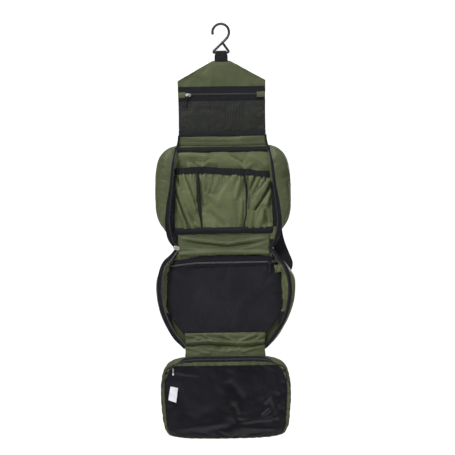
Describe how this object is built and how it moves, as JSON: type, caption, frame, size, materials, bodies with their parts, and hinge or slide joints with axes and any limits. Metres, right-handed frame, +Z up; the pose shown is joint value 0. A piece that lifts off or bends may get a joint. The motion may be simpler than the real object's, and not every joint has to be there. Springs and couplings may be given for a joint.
{
  "type": "hanging toiletry bag",
  "caption": "Fold-out hanging wash bag: hook, zipped mesh flap, organiser tray with pleated pockets, mesh tray and clear-front pouch.",
  "frame": {"origin": "the hook's seat: the inside top of its arc, where a rail touches it", "axes": "+Z up, +X to the right seen from the front, -Y to the front, the side that the open trays face"},
  "size_m": [0.2663, 0.0367, 0.7885],
  "materials": {
    "ripstop": "coated ripstop nylon, semi-matt",
    "black_webbing": "ribbed webbing",
    "black_binding": "grosgrain binding",
    "black_mesh": "hexagonal mesh over lining",
    "zip_tape": "woven zip tape",
    "zip_coil": "nylon coil",
    "hook_plastic": "moulded, satin",
    "slider_metal": "plated",
    "main_slider_metal": "satin nickel",
    "elastic": "folded elastic",
    "black_lining": "coated nylon",
    "clear_film": "glossy film over black lining",
    "label_cloth": "woven label",
    "pull_cord": "braided cord pull"
  },
  "bodies": {
    "hook": {"hook": "hook_plastic"},
    "flap": {"hanger_loop": "black_webbing", "flap_panel": "ripstop", "flap_zip_tape": "zip_tape", "flap_zip_coil": "zip_coil", "flap_zip_tabs": "ripstop", "flap_mesh_pocket": "black_mesh", "flap_pocket_binding": "black_binding"},
    "flap_slider": {"flap_zip_slider": "slider_metal"},
    "flap_pull": {"flap_zip_pull": "pull_cord"},
    "upper_shell": {"upper_back_panel": "ripstop", "upper_wall": "ripstop", "upper_zip_tape": "zip_tape", "organiser_liner": "ripstop", "organiser_top_binding": "black_binding", "organiser_elastic": "elastic", "organiser_pocket_left": "ripstop", "organiser_pocket_middle": "ripstop", "organiser_pocket_right": "ripstop", "organiser_seams": "ripstop", "organiser_bottom_binding": "black_binding", "strap_anchors": "black_webbing"},
    "strap": {"carry_strap": "black_webbing"},
    "spine": {"spine_gusset": "ripstop", "spine_zip_ends": "zip_tape", "main_slider_left": "main_slider_metal", "main_slider_right": "main_slider_metal"},
    "main_pull_left": {"main_pull_left": "main_slider_metal"},
    "main_pull_right": {"main_pull_right": "main_slider_metal"},
    "lower_shell": {"lower_back_panel": "ripstop", "lower_wall": "ripstop", "lower_zip_tape": "zip_tape", "mesh_pocket_panel": "black_mesh", "mesh_pocket_zip_tape": "zip_tape", "mesh_pocket_zip_coil": "zip_coil", "mesh_zip_end_tab": "ripstop", "lower_band": "ripstop", "lower_lining": "ripstop"},
    "mesh_slider": {"mesh_pocket_slider": "slider_metal"},
    "mesh_pull": {"mesh_pocket_pull": "slider_metal"},
    "pouch": {"pouch_back": "ripstop", "pouch_wall": "ripstop", "pouch_front_frame": "ripstop", "pouch_window": "clear_film", "pouch_lining": "black_lining", "care_label": "label_cloth", "pouch_slider": "slider_metal", "pouch_tab": "ripstop"},
    "pouch_pull": {"pouch_pull": "slider_metal"}
  },
  "joints": [
    {"name": "hook_bar", "type": "hinge", "parent": "hook", "child": "flap", "pos_m": [0, 0, -0.0525], "axis": [-1, 0, 0], "range_deg": [-140, 140]},
    {"name": "flap_zip", "type": "slide", "parent": "flap", "child": "flap_slider", "axis": [1, 0, 0], "range_m": [0, 0.125]},
    {"name": "flap_pull_hinge", "type": "hinge", "parent": "flap_slider", "child": "flap_pull", "pos_m": [-0.0655, -0.0041, -0.1372], "axis": [-1, 0, 0], "range_deg": [0, 100]},
    {"name": "flap_fold", "type": "hinge", "parent": "flap", "child": "upper_shell", "pos_m": [0, -0.008, -0.23], "axis": [1, 0, 0], "range_deg": [-180, 0]},
    {"name": "strap_swing", "type": "hinge", "parent": "upper_shell", "child": "strap", "pos_m": [0.077, 0.0129, -0.384], "axis": [1, 0, 0], "range_deg": [0, 110]},
    {"name": "spine_upper_fold", "type": "hinge", "parent": "upper_shell", "child": "spine", "pos_m": [0, 0, -0.4], "axis": [-1, 0, 0], "range_deg": [0, 90]},
    {"name": "main_pull_left_hinge", "type": "hinge", "parent": "spine", "child": "main_pull_left", "pos_m": [-0.09, 0.00265, -0.4255], "axis": [1, 0, 0], "range_deg": [0, 100]},
    {"name": "main_pull_right_hinge", "type": "hinge", "parent": "spine", "child": "main_pull_right", "pos_m": [0.089, 0.00265, -0.4255], "axis": [1, 0, 0], "range_deg": [0, 100]},
    {"name": "spine_lower_fold", "type": "hinge", "parent": "spine", "child": "lower_shell", "pos_m": [0, 0, -0.445], "axis": [-1, 0, 0], "range_deg": [0, 90]},
    {"name": "mesh_zip", "type": "slide", "parent": "lower_shell", "child": "mesh_slider", "axis": [1, 0, 0], "range_m": [-0.17, 0]},
    {"name": "mesh_pull_hinge", "type": "hinge", "parent": "mesh_slider", "child": "mesh_pull", "pos_m": [0.086, -0.003, -0.45785], "axis": [1, 0, 0], "range_deg": [-100, 0]},
    {"name": "pouch_fold", "type": "hinge", "parent": "lower_shell", "child": "pouch", "pos_m": [0, -0.013, -0.617], "axis": [-1, 0, 0], "range_deg": [0, 180]},
    {"name": "pouch_pull_hinge", "type": "hinge", "parent": "pouch", "child": "pouch_pull", "pos_m": [-0.099, -0.022, -0.6546], "axis": [1, 0, 0], "range_deg": [-100, 0]}
  ]
}
